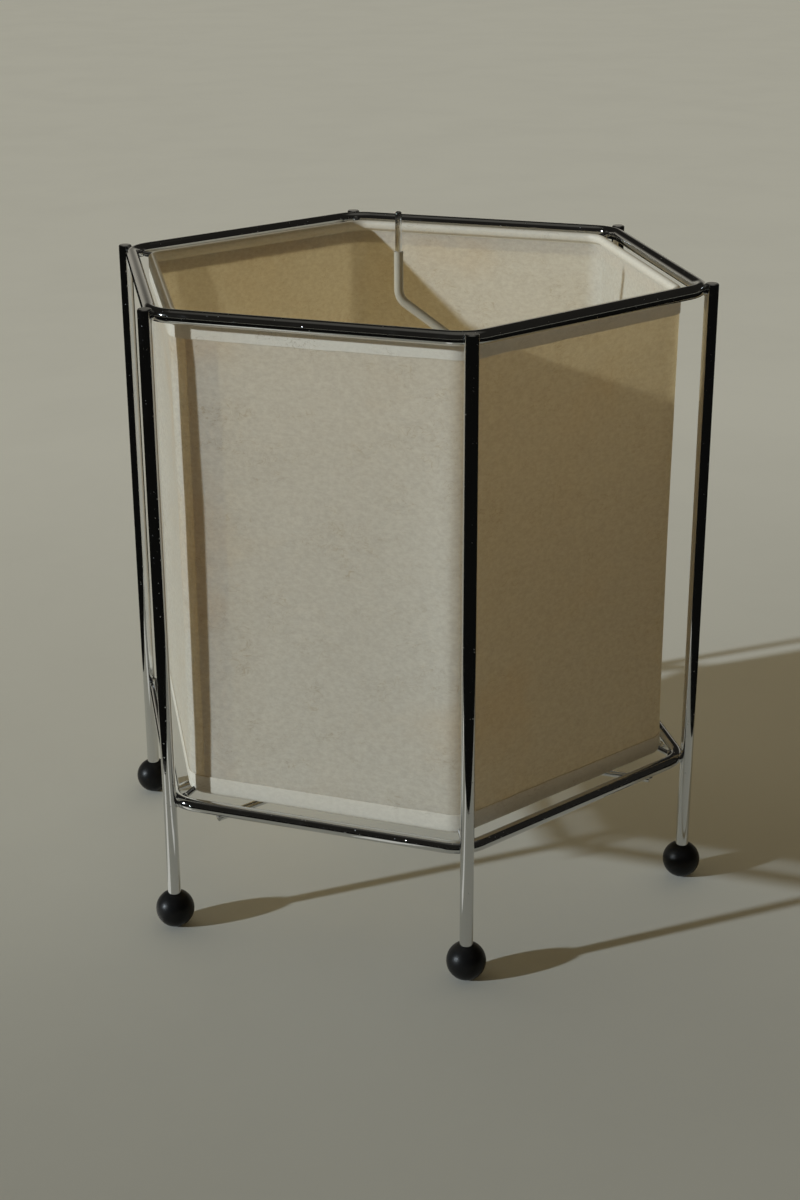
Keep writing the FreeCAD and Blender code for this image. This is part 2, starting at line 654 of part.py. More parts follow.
node(put(turned("bulb_tip", (
    ("0", "0"),
    ("tip_dia / 4", "0"),
    ("tip_dia / 2", "tip_thick / 2"),
    ("tip_dia / 2", "tip_thick"),
    ("tip_stub_dia / 2", "tip_thick"),
    ("tip_stub_dia / 2", "tip_thick + tip_stub"),
    ("0", "tip_thick + tip_stub"))), z="bulb_low"), "bulb_tip")
node(put(turned("bulb_insulator", (
    ("tip_stub_dia / 2 + tip_gap", "tip_thick + tip_gap"),
    ("insulator_low_dia / 2", "tip_thick + tip_gap"),
    ("insulator_dia / 2", "insulator_top"),
    ("0", "insulator_top"),
    ("0", "tip_thick + tip_stub + tip_gap"),
    ("tip_stub_dia / 2 + tip_gap", "tip_thick + tip_stub + tip_gap"))), z="bulb_low"), "bulb_insulator")
node(put(turned("bulb_cap", (
    ("0", "insulator_top"),
    ("insulator_dia / 2", "insulator_top"),
    *thread_outline(),
    ("thread_dia / 2 - thread_depth", "skirt_low - bulb_cap_wall"),
    ("neck_dia / 2 + thread_gap + bulb_cap_wall", "skirt_low"),
    ("neck_dia / 2 + thread_gap + bulb_cap_wall", "bulb_cap_height"),
    ("neck_dia / 2 + thread_gap", "bulb_cap_height"),
    ("neck_dia / 2 + thread_gap", "skirt_low"),
    ("cap_inside", "skirt_low"),
    ("cap_inside", "thread_start + bulb_cap_wall"),
    ("insulator_dia / 2", "insulator_top + bulb_cap_wall"),
    ("0", "insulator_top + bulb_cap_wall"))), z="bulb_low"), "bulb_cap")


def glass_outline(inset):
    """Give the glass's outline from its neck to its crown, moved in by an inset."""
    joint_radius = "(neck_dia / 2 + neck_curve) * globe_share * (1 - 2 * %s / globe_dia)" % inset
    joint_height = "globe_height - neck_rise * globe_share * (1 - 2 * %s / globe_dia)" % inset
    return [("neck_dia / 2 - %s" % inset, "stem_low"),
            ("neck_dia / 2 - %s" % inset, "neck_top", "neck_curve + %s" % inset, RIGHT),
            (joint_radius, joint_height, "globe_dia / 2 - %s" % inset, LEFT),
            ("0", "bulb_length - %s" % inset)]


outside = glass_outline("0")
inside = glass_outline("glass_wall")
crown_inside = inside[3] + ("globe_dia / 2 - glass_wall", RIGHT)
joint_inside = inside[2][:2] + ("neck_curve + glass_wall", LEFT)
node(put(turned("bulb_glass", outside + [crown_inside, joint_inside, inside[1][:2], inside[0]]),
         z="bulb_low"), "bulb_glass")
node(put(turned("bulb_stem", (
    ("0", "stem_low"),
    ("neck_dia / 2 - glass_wall - tip_gap", "stem_low"),
    ("neck_dia / 2 - glass_wall - tip_gap", "stem_low + glass_wall"),
    ("stem_dia / 2", "stem_low + stem_flare"),
    ("stem_dia / 2", "stem_top"),
    ("0", "stem_top"))), z="bulb_low"), "bulb_stem")

filament = new_body("bulb_filament")
filament_path = new_sketch(filament, "XZ_Plane")
bent_path(filament_path, (
    ("stem_dia", "0"),
    ("stem_dia", "filament_rise / 2"),
    ("stem_dia + filament_span / 4", "filament_rise"),
    ("stem_dia + filament_span", "filament_rise"),
    ("2 * stem_dia + filament_span", "filament_rise / 2"),
    ("2 * stem_dia + filament_span", "0")), "filament_bend")
filament_section = new_sketch(filament, "XY_Plane")
add_circle(filament_section, "filament_dia / 2", x="stem_dia")
swept(filament, filament_section, filament_path)
node(put(filament, x="-(3 * stem_dia + filament_span) / 2", z="bulb_low + stem_top"), "bulb_filament")


# Cranked lifting rod, its sleeve and its nuts

def rod_shape(label, low, high, *radii):
    """Sweep circles along the crank between two heights."""
    body = new_body(label)
    path = new_sketch(body, "XZ_Plane")
    upper = "rod_crank - (%s)" % low
    bent_path(path, (
        ("rod_reach", "0"),
        ("rod_reach", upper + " - (rod_reach + rod_aside) * tan(rod_slope)"),
        ("-rod_aside", upper),
        ("-rod_aside", "%s - (%s)" % (high, low))), "rod_bend")
    section = new_sketch(body, "XY_Plane")
    for radius in radii:
        add_circle(section, radius, x="rod_reach")
    swept(body, section, path)
    return put(body, z=low, turn="rod_turn")


rod = rod_shape("lift_rod", "rod_low", "rod_tip", "rod_dia / 2")
doc.recompute()
pipe = rod.Tip
tip_edge = max(range(len(pipe.Shape.Edges)), key=lambda edge: pipe.Shape.Edges[edge].CenterOfMass.z)
rounding = rod.newObject("PartDesign::Fillet", "Tip")
rounding.Base = (pipe, ["Edge%d" % (tip_edge + 1)])
bind(rounding, Radius="rod_round")
node(rod, "lift_rod")
node(rod_shape("rod_sleeve", "plate_top + sleeve_low", "sleeve_top", "sleeve_dia / 2",
               "rod_dia / 2 + thread_gap"), "rod_sleeve")
rod_nuts = []
for name, height in (("upper", "plate_top"), ("lower", "plate_low - rod_nut_thick")):
    nut = hex_nut("%s_rod_nut" % name, "rod_nut_flats", "rod_nut_thick", "rod_dia / 2 + thread_gap")
    put(nut, x="rod_reach * cos(rod_turn)", y="rod_reach * sin(rod_turn)", z=height)
    rod_nuts.append(nut)
node(group("rod_nuts", *rod_nuts), "rod_nuts")


# Test every object, then write the sub-parts

doc.recompute()
for thing in doc.Objects:
    if "Invalid" in thing.State or "Error" in thing.State:
        raise RuntimeError("%s can't be built" % thing.Label)
for thing in NODES:
    if thing.Shape.isNull() or not thing.Shape.isValid() or not thing.Shape.Solids:
        raise RuntimeError("%s has no sound solid" % thing.Label)
os.makedirs("parts", exist_ok=True)
for thing in NODES:
    thing.Shape.exportStep("parts/%s.step" % thing.Label)
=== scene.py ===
"""Dresses the hexagonal paper table lamp: its finishes, paper shade, welds, light and camera.

Metres, +Z up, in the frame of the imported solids. The origin is on the floor under the middle of the lamp.
"""
import json
import logging
import math
from dataclasses import dataclass, replace
from enum import Enum
from typing import Callable, Iterable, Sequence

import bmesh
import bpy
from mathutils import Matrix, Vector, noise


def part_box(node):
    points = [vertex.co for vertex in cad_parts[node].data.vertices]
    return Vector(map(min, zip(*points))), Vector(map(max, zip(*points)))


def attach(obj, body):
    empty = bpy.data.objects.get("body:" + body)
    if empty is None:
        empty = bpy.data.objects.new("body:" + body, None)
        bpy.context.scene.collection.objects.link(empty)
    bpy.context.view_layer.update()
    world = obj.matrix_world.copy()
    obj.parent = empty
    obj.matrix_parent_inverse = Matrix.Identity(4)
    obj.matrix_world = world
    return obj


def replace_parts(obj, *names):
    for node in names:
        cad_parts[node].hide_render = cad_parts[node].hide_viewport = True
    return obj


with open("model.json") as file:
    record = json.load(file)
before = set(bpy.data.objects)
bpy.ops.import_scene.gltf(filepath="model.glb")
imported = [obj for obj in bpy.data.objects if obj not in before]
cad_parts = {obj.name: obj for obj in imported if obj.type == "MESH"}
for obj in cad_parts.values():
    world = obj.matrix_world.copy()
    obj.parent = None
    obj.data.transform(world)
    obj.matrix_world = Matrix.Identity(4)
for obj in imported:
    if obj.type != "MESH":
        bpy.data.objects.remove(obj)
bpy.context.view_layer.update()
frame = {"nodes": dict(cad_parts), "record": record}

Range = tuple[float, float]
Triple = tuple[float, float, float]
Colour = Triple
Socket = bpy.types.NodeSocket
Value = float | Colour | Socket

MM = 0.001
SIDES = 6
SIXTH = math.tau / SIDES
COS30 = math.cos(SIXTH / 2)
TAN30 = math.tan(SIXTH / 2)
FIRST_CORNER = math.radians(150)
RISE: Range = (0.0, 1.0)
FALL: Range = (1.0, 0.0)
BLACK: Colour = (0.0, 0.0, 0.0)

log = logging.getLogger("lamp")


def corner_angle(number: int) -> float:
    """Give the direction of a corner, 1 to 6, with corner 3 at -Y."""
    return FIRST_CORNER + SIXTH * (number - 1)


def heading(angle: float) -> Vector:
    """Give the level unit vector at an angle from +X."""
    return Vector((math.cos(angle), math.sin(angle), 0.0))


def lifted(height: float) -> Vector:
    """Give the upright vector of a height."""
    return Vector((0.0, 0.0, height))


def ease(share: float) -> float:
    """Go from 0 to 1 with a level start and end."""
    share = min(max(share, 0.0), 1.0)
    return share * share * (3.0 - 2.0 * share)


# Shader graphs and the effects that finishes share

class Graph:
    """The nodes of one material, world or node group while they are put together."""

    def __init__(self, tree: bpy.types.NodeTree) -> None:
        """Start with an empty tree."""
        self.tree = tree
        tree.nodes.clear()

    def add(self, kind: str, inputs: dict[str | int, Value] | None = None,
            **settings: object) -> bpy.types.Node:
        """Add a node.

        Args:
            kind: Blender's name of the node's type.
            inputs: what each input gets: a plain value, or a socket to link.
            settings: the node's own properties.

        Returns:
            The new node.
        """
        node = self.tree.nodes.new(kind)
        for name, setting in settings.items():
            setattr(node, name, setting)
        for name, value in (inputs or {}).items():
            self.feed(node.inputs[name], value)
        return node

    def feed(self, target: Socket, value: Value) -> None:
        """Link a socket to an input, or set the input's plain value.

        Args:
            target: the input.
            value: a socket, a number, or a colour of three parts.
        """
        if isinstance(value, Socket):
            self.tree.links.new(value, target)
        elif isinstance(value, tuple) and target.type == "RGBA":
            target.default_value = (*value, 1.0)
        else:
            target.default_value = value

    def math(self, operation: str, first: Value, second: Value = 0.0) -> Socket:
        """Join two values by a sum that Blender names, or change one by it."""
        return self.add("ShaderNodeMath", {0: first, 1: second}, operation=operation).outputs[0]

    def spread(self, value: Value, source: Range, target: Range) -> Socket:
        """Map a value smoothly from a source range to a target range."""
        inputs = {"Value": value, 1: source[0], 2: source[1], 3: target[0], 4: target[1]}
        return self.add("ShaderNodeMapRange", inputs, interpolation_type="SMOOTHSTEP").outputs[0]

    def blend(self, share: Value, first: Value, second: Value) -> Socket:
        """Mix two colours, of which a share of 0 gives the first and 1 the second."""
        return self.add("ShaderNodeMix", {0: share, 6: first, 7: second}, data_type="RGBA").outputs[2]

    def noise(self, place: Value, scale: Value, detail: float, roughness: float = 0.6,
              distortion: float = 0.0) -> Socket:
        """Add a cloud of smooth noise from 0 to 1.

        Args:
            place: where it is read.
            scale: clouds for each metre.
            detail: how many finer layers it has.
            roughness: how strong the finer layers are.
            distortion: how far it is twisted.

        Returns:
            The result's socket.
        """
        inputs = {"Vector": place, "Scale": scale, "Detail": detail, "Roughness": roughness,
                  "Distortion": distortion}
        return self.add("ShaderNodeTexNoise", inputs).outputs[0]

    def place(self, squeeze: Value | None = None) -> Socket:
        """Give the place on the piece, in metres.

        Args:
            squeeze: how many times finer a pattern runs along Z, if at all.

        Returns:
            The place's socket.
        """
        place = self.add("ShaderNodeTexCoord").outputs["Object"]
        if squeeze is None:
            return place
        stretch = self.add("ShaderNodeCombineXYZ", {"X": 1.0, "Y": 1.0, "Z": squeeze}).outputs[0]
        return self.add("ShaderNodeVectorMath", {0: place, 1: stretch}, operation="MULTIPLY").outputs[0]


class Effect(Enum):
    """Surface effects that more than one finish uses."""

    FIBRES = "paper_fibres"
    STAINS = "age_stains"
    PITS = "plating_pits"
    HAZE = "handling_haze"
    GRAIN = "fine_grain"
    DUST = "settled_dust"


class EffectLibrary:
    """Node groups of the shared effects, each built when a finish first asks for it."""

    def __init__(self) -> None:
        """Know how each effect is made."""
        self.makers: dict[Effect, Callable[[], bpy.types.NodeTree]] = {
            Effect.FIBRES: self.fibres,
            Effect.STAINS: self.stains,
            Effect.PITS: self.pits,
            Effect.HAZE: self.haze,
            Effect.GRAIN: self.grain,
            Effect.DUST: self.dust,
        }

    def use(self, graph: Graph, effect: Effect, **values: float) -> bpy.types.Node:
        """Place an effect in a material.

        Args:
            graph: the material's nodes.
            effect: which effect.
            values: the effect's own inputs, spelled in lower case.

        Returns:
            The group's node.
        """
        tree = bpy.data.node_groups.get(effect.value) or self.makers[effect]()
        node = graph.add("ShaderNodeGroup", node_tree=tree)
        for name, value in values.items():
            node.inputs[name.capitalize()].default_value = value
        return node

    def start(self, effect: Effect, inputs: dict[str, float], outputs: Sequence[str]
              ) -> tuple[Graph, dict[str, Socket], bpy.types.Node]:
        """Begin a node group.

        Args:
            effect: which effect it makes.
            inputs: its inputs, with their usual values.
            outputs: its outputs.

        Returns:
            The group's graph, the sockets of its inputs by name, and its output node.
        """
        tree = bpy.data.node_groups.new(effect.value, "ShaderNodeTree")
        for name, usual in inputs.items():
            socket = tree.interface.new_socket(name, in_out="INPUT", socket_type="NodeSocketFloat")
            socket.default_value = usual
        for name in outputs:
            tree.interface.new_socket(name, in_out="OUTPUT", socket_type="NodeSocketFloat")
        graph = Graph(tree)
        given = graph.add("NodeGroupInput")
        return graph, {name: given.outputs[name] for name in inputs}, graph.add("NodeGroupOutput")

    def fibres(self) -> bpy.types.NodeTree:
        """Make pulp clouds and fine threads that lie mostly level.

        Returns:
            The group, with a mask of the clouds, a mask of the threads and a height.
        """
        graph, given, out = self.start(Effect.FIBRES, {"Scale": 300.0, "Level": 2.5},
                                       ("Clouds", "Threads", "Height"))
        thread_scale, patch_scale = 0.3, 0.12
        thread_width, thread_rise = 0.016, 0.35
        place = graph.place(given["Level"])
        clouds = graph.noise(place, given["Scale"], detail=5.0, roughness=0.7)
        bent = graph.noise(place, graph.math("MULTIPLY", given["Scale"], thread_scale), detail=2.0,
                           distortion=1.4)
        ridge = graph.math("ABSOLUTE", graph.math("SUBTRACT", bent, 0.5))
        line = graph.spread(ridge, (0.0, thread_width), FALL)
        patch = graph.noise(place, graph.math("MULTIPLY", given["Scale"], patch_scale), detail=1.0)
        threads = graph.math("MULTIPLY", line, graph.spread(patch, (0.45, 0.65), RISE))
        raised = graph.math("MULTIPLY", threads, thread_rise)
        graph.feed(out.inputs["Clouds"], graph.spread(clouds, (0.22, 0.78), RISE))
        graph.feed(out.inputs["Threads"], threads)
        graph.feed(out.inputs["Height"], graph.math("ADD", clouds, raised))
        return graph.tree

    def stains(self) -> bpy.types.NodeTree:
        """Make wide, soft-edged stains of age.

        Returns:
            The group, with a mask.
        """
        graph, given, out = self.start(Effect.STAINS, {"Scale": 12.0, "Reach": 0.62}, ("Mask",))
        cloud = graph.noise(graph.place(), given["Scale"], detail=4.0, roughness=0.55, distortion=0.4)
        past = graph.math("SUBTRACT", cloud, given["Reach"])
        graph.feed(out.inputs["Mask"], graph.spread(past, (-0.08, 0.2), RISE))
        return graph.tree

    def pits(self) -> bpy.types.NodeTree:
        """Make small scattered pits.

        Returns:
            The group, with a mask and a height.
        """
        graph, given, out = self.start(Effect.PITS, {"Scale": 700.0, "Share": 0.2, "Width": 0.25},
                                       ("Mask", "Height"))
        cells = graph.add("ShaderNodeTexVoronoi", {"Vector": graph.place(), "Scale": given["Scale"]})
        chance = graph.add("ShaderNodeSeparateColor", {"Color": cells.outputs["Color"]}).outputs[0]
        chosen = graph.math("LESS_THAN", chance, given["Share"])
        inside = graph.math("DIVIDE", cells.outputs["Distance"], given["Width"])
        mask = graph.math("MULTIPLY", chosen, graph.spread(inside, (0.3, 1.0), FALL))
        graph.feed(out.inputs["Mask"], mask)
        graph.feed(out.inputs["Height"], graph.math("MULTIPLY", mask, -1.0))
        return graph.tree

    def haze(self) -> bpy.types.NodeTree:
        """Make the uneven haze of handling.

        Returns:
            The group, with a mask.
        """
        graph, given, out = self.start(Effect.HAZE, {"Scale": 60.0}, ("Mask",))
        cloud = graph.noise(graph.place(), given["Scale"], detail=6.0, roughness=0.65, distortion=0.3)
        graph.feed(out.inputs["Mask"], graph.spread(cloud, (0.35, 0.75), RISE))
        return graph.tree

    def grain(self) -> bpy.types.NodeTree:
        """Make an even, fine grain.

        Returns:
            The group, with a mask and a height.
        """
        graph, given, out = self.start(Effect.GRAIN, {"Scale": 1500.0}, ("Mask", "Height"))
        cloud = graph.noise(graph.place(), given["Scale"], detail=3.0)
        graph.feed(out.inputs["Mask"], graph.spread(cloud, (0.3, 0.7), RISE))
        graph.feed(out.inputs["Height"], cloud)
        return graph.tree

    def dust(self) -> bpy.types.NodeTree:
        """Make dust that lies on what faces up.

        Returns:
            The group, with a mask.
        """
        graph, given, out = self.start(Effect.DUST, {"Amount": 0.3}, ("Mask",))
        normal = graph.add("ShaderNodeNewGeometry").outputs["Normal"]
        up = graph.add("ShaderNodeSeparateXYZ", {"Vector": normal}).outputs["Z"]
        lying = graph.spread(up, (0.35, 1.0), RISE)
        speck_scale = 420.0
        cloud = graph.noise(graph.place(), speck_scale, detail=6.0, roughness=0.75)
        specks = graph.spread(cloud, (0.4, 0.75), (0.15, 1.0))
        settled = graph.math("MULTIPLY", lying, specks)
        graph.feed(out.inputs["Mask"], graph.math("MULTIPLY", settled, given["Amount"]))
        return graph.tree


EFFECTS = EffectLibrary()


# Finishes

@dataclass(frozen=True)
class Finish:
    """What every finish has: its name and its main colour."""

    name: str
    colour: Colour

    def material(self) -> bpy.types.Material:
        """Make the material, or give the one made before.

        Returns:
            The material.
        """
        made = bpy.data.materials.get(self.name)
        if made is None:
            made = bpy.data.materials.new(self.name)
            made.use_nodes = True
            graph = Graph(made.node_tree)
            shader = graph.add("ShaderNodeBsdfPrincipled", {"Base Color": self.colour})
            self.dress(graph, shader)
            graph.add("ShaderNodeOutputMaterial", {"Surface": self.surface(graph, shader)})
        return made

    def dress(self, graph: Graph, shader: bpy.types.Node) -> None:
        """Give the shader its values and effects."""
        raise NotImplementedError

    def surface(self, graph: Graph, shader: bpy.types.Node) -> Socket:
        """Give what the surface shows: the shader alone, unless a finish mixes it with another."""
        return shader.outputs[0]


def set_values(shader: bpy.types.Node, **values: float | Sequence[float]) -> None:
    """Set plain values on a shader's own sockets.

    Args:
        shader: the shader.
        values: each input's value, its name in lower case with _ between words.
    """
    sockets = {socket.name.lower().replace(" ", "_"): socket for socket in shader.inputs}
    for name, value in values.items():
        sockets[name].default_value = value


def bump(graph: Graph, shader: bpy.types.Node, height: Socket, depth: float) -> None:
    """Lead a height from 0 to 1 into a shader's normal, at the depth in metres that 1 stands for."""
    node = graph.add("ShaderNodeBump", {"Height": height, "Distance": depth, "Strength": 1.0})
    graph.feed(shader.inputs["Normal"], node.outputs[0])


@dataclass(frozen=True)
class BareMetal(Finish):
    """Plated or bare metal with a handled haze and small pits."""

    smooth: float
    hazy: float
    haze_scale: float = 70.0
    pit_scale: float = 700.0
    pit_share: float = 0.2
    pit_depth: float = 0.00005
    pit_dulling: float = 0.25
    tarnish: Colour | None = None
    tarnish_scale: float = 90.0
    tarnish_reach: float = 0.55

    def dress(self, graph: Graph, shader: bpy.types.Node) -> None:
        """Vary the gloss with haze, and let pits and tarnish break the surface.

        Args:
            graph: the material's nodes.
            shader: its Principled BSDF.
        """
        set_values(shader, metallic=1.0)
        haze = EFFECTS.use(graph, Effect.HAZE, scale=self.haze_scale).outputs["Mask"]
        pits = EFFECTS.use(graph, Effect.PITS, scale=self.pit_scale, share=self.pit_share)
        rough = graph.spread(haze, RISE, (self.smooth, self.hazy))
        dull = graph.math("MULTIPLY", pits.outputs["Mask"], self.pit_dulling)
        graph.feed(shader.inputs["Roughness"], graph.math("ADD", rough, dull))
        bump(graph, shader, pits.outputs["Height"], self.pit_depth)
        if self.tarnish:
            stains = EFFECTS.use(graph, Effect.STAINS, scale=self.tarnish_scale, reach=self.tarnish_reach)
            colour = graph.blend(stains.outputs["Mask"], self.colour, self.tarnish)
            graph.feed(shader.inputs["Base Color"], colour)


@dataclass(frozen=True)
class Moulded(Finish):
    """A moulded, turned or fired piece with a fine grain and a little dust."""

    gloss: float
    uneven: float = 0.06
    grain_scale: float = 1500.0
    grain_depth: float = 0.00004
    dust: float = 0.25
    dust_dulling: float = 0.4
    dust_colour: Colour = (0.36, 0.34, 0.3)
    shine: float = 0.5

    def dress(self, graph: Graph, shader: bpy.types.Node) -> None:
        """Grain the surface and let dust lie on its upper side.

        Args:
            graph: the material's nodes.
            shader: its Principled BSDF.
        """
        set_values(shader, specular_ior_level=self.shine)
        grain = EFFECTS.use(graph, Effect.GRAIN, scale=self.grain_scale)
        dust = EFFECTS.use(graph, Effect.DUST, amount=self.dust).outputs["Mask"]
        graph.feed(shader.inputs["Base Color"], graph.blend(dust, self.colour, self.dust_colour))
        glosses = (self.gloss - self.uneven, self.gloss + self.uneven)
        rough = graph.spread(grain.outputs["Mask"], RISE, glosses)
        dull = graph.math("MULTIPLY", dust, self.dust_dulling)
        graph.feed(shader.inputs["Roughness"], graph.math("ADD", rough, dull))
        bump(graph, shader, grain.outputs["Height"], self.grain_depth)


@dataclass(frozen=True)
class RicePaper(Finish):
    """Thin fibrous paper that lets a warm light through."""

    pulp: Colour
    thread: Colour
    stain: Colour
    glow: Colour
    glow_pulp: Colour
    through: float = 0.56
    threaded: float = 0.55
    stained: float = 0.45
    stain_scale: float = 14.0
    stain_reach: float = 0.58
    fibre_scale: float = 380.0
    fibre_level: float = 1.6
    relief: float = 0.00007
    gloss: float = 0.45
    shine: float = 0.5

    def dress(self, graph: Graph, shader: bpy.types.Node) -> None:
        """Cloud and stain the colour and raise the threads.

        Args:
            graph: the material's nodes.
            shader: its Principled BSDF.
        """
        set_values(shader, roughness=self.gloss, specular_ior_level=self.shine)
        fibres = self.fibres(graph).outputs
        stains = EFFECTS.use(graph, Effect.STAINS, scale=self.stain_scale, reach=self.stain_reach)
        colour = graph.blend(fibres["Clouds"], self.pulp, self.colour)
        threads = graph.math("MULTIPLY", fibres["Threads"], self.threaded)
        colour = graph.blend(threads, colour, self.thread)
        stained = graph.math("MULTIPLY", stains.outputs["Mask"], self.stained)
        colour = graph.blend(stained, colour, self.stain)
        graph.feed(shader.inputs["Base Color"], colour)
        bump(graph, shader, fibres["Height"], self.relief)

    def surface(self, graph: Graph, shader: bpy.types.Node) -> Socket:
        """Mix in the light that comes through the paper.

        Args:
            graph: the material's nodes.
            shader: its Principled BSDF.

        Returns:
            The socket of the surface.
        """
        clouds = self.fibres(graph).outputs["Clouds"]
        colour = graph.blend(clouds, self.glow_pulp, self.glow)
        behind = graph.add("ShaderNodeBsdfTranslucent", {"Color": colour})
        shares = {0: self.through, 1: shader.outputs[0], 2: behind.outputs[0]}
        return graph.add("ShaderNodeMixShader", shares).outputs[0]

    def fibres(self, graph: Graph) -> bpy.types.Node:
        """Place the paper's fibres in its material."""
        return EFFECTS.use(graph, Effect.FIBRES, scale=self.fibre_scale, level=self.fibre_level)


@dataclass(frozen=True)
class BulbGlass(Finish):
    """Glass of the bulb: clear, opal white or black."""

    clear: float
    milky: float
    gloss: float
    hazed: float = 0.08
    haze_scale: float = 45.0
    scatter: Colour = (1.0, 0.95, 0.85)
    scatter_depth: float = 4.0 * MM
    ior: float = 1.5

    def dress(self, graph: Graph, shader: bpy.types.Node) -> None:
        """Let light through or scatter it, under a lightly dusted gloss.

        Args:
            graph: the material's nodes.
            shader: its Principled BSDF.
        """
        set_values(shader, transmission_weight=self.clear, subsurface_weight=self.milky,
                   subsurface_radius=self.scatter, subsurface_scale=self.scatter_depth, ior=self.ior)
        haze = EFFECTS.use(graph, Effect.HAZE, scale=self.haze_scale).outputs["Mask"]
        rough = graph.spread(haze, RISE, (self.gloss, self.gloss + self.hazed))
        graph.feed(shader.inputs["Roughness"], rough)


@dataclass(frozen=True)
class FloorPaint(Finish):
    """The plain pale floor, quite matt, with painted light that makes it paler towards the back."""

    far: Colour
    reach: Range = (-0.45, 0.8)
    mottle: float = 0.03
    mottle_scale: float = 5.0

    def dress(self, graph: Graph, shader: bpy.types.Node) -> None:
        """Mottle the floor very slightly.

        Args:
            graph: the material's nodes.
            shader: its Principled BSDF.
        """
        set_values(shader, roughness=1.0, specular_ior_level=0.0)
        away = graph.add("ShaderNodeSeparateXYZ", {"Vector": graph.place()}).outputs["Y"]
        # painted light: the floor's colour grows paler towards the back, as if lit more there
        colour = graph.blend(graph.spread(away, self.reach, RISE), self.colour, self.far)
        haze = EFFECTS.use(graph, Effect.HAZE, scale=self.mottle_scale).outputs["Mask"]
        darker = graph.math("MULTIPLY", haze, self.mottle)
        graph.feed(shader.inputs["Base Color"], graph.blend(darker, colour, BLACK))


@dataclass(frozen=True)
class Card(Finish):
    """A dull card that bright metal mirrors, dark or lit: a painted reflection, the pale one glowing though
    it is no lamp.
    """

    lit: float = 0.0

    def dress(self, graph: Graph, shader: bpy.types.Node) -> None:
        """Keep the card dull, and light it if it is a pale one."""
        set_values(shader, roughness=1.0, specular_ior_level=0.0, emission_color=(*self.colour, 1.0),
                   emission_strength=self.lit)


PAPER = RicePaper("rice_paper_sheet", (0.91, 0.94, 0.925), pulp=(0.805, 0.825, 0.79),
                  thread=(0.44, 0.38, 0.27), stain=(0.86, 0.71, 0.51), glow=(0.97, 0.86, 0.645),
                  glow_pulp=(0.8, 0.675, 0.47))
HEM_PAPER = RicePaper("folded_hem_paper", (0.965, 0.935, 0.84), pulp=(0.89, 0.86, 0.765),
                      thread=(0.5, 0.44, 0.33), stain=(0.82, 0.72, 0.55), glow=(0.92, 0.78, 0.52),
                      glow_pulp=(0.78, 0.63, 0.39), through=0.26, stained=0.3)
CHROME = BareMetal("chromed_wire", (0.68, 0.69, 0.7), smooth=0.035, hazy=0.11, pit_share=0.16)

# No finish has the name of a slot, because the solids bring plain materials of those names.
SLOT_FINISHES: dict[str, Finish] = {
    "chrome_wire": CHROME,
    "black_ball": Moulded("matt_black_ball", (0.008, 0.008, 0.0085), gloss=0.36, grain_scale=1900.0,
                          dust=0.03, shine=0.18),
    "rice_paper": PAPER,
    "paper_hem": HEM_PAPER,
    "hoop_wire": Moulded("white_lacquered_wire", (0.72, 0.69, 0.6), gloss=0.4),
    "cream_sleeve": Moulded("sleeve_cream", (0.48, 0.45, 0.37), gloss=0.5, grain_scale=900.0, dust=0.1),
    "zinc_steel": BareMetal("zinc_plate", (0.6, 0.61, 0.62), smooth=0.22, hazy=0.4, pit_share=0.3,
                            tarnish=(0.46, 0.45, 0.42)),
    "black_moulding": Moulded("satin_black", (0.02, 0.019, 0.018), gloss=0.3, dust=0.3),
    "porcelain": Moulded("unglazed_porcelain", (0.78, 0.76, 0.7), gloss=0.6, dust=0.2),
    "brass": BareMetal("pressed_brass", (0.7, 0.51, 0.22), smooth=0.18, hazy=0.34,
                       tarnish=(0.42, 0.29, 0.13)),
    "opal_glass": BulbGlass("opal_bulb", (0.9, 0.89, 0.86), clear=0.0, milky=0.15, gloss=0.08),
    "clear_glass": BulbGlass("clear_stem", (0.95, 0.97, 0.96), clear=1.0, milky=0.0, gloss=0.02),
    "black_glass": BulbGlass("black_insulator", (0.012, 0.012, 0.014), clear=0.0, milky=0.0, gloss=0.1),
    "bulb_metal": BareMetal("rolled_cap", (0.66, 0.66, 0.64), smooth=0.2, hazy=0.36,
                            tarnish=(0.52, 0.5, 0.46)),
    "filament_wire": BareMetal("fine_filament", (0.36, 0.36, 0.37), smooth=0.3, hazy=0.45),
}


# Shapes

@dataclass(frozen=True)
class Station:
    """One place on the way round a hexagon of wire.

    Attributes:
        middle: where it is on the centre line, seen from above.
        normal: the way outwards.
        along: how far round it is.
        corner: 0 in the middle of a side, 1 in a bend.
    """

    middle: Vector
    normal: Vector
    along: float
    corner: float


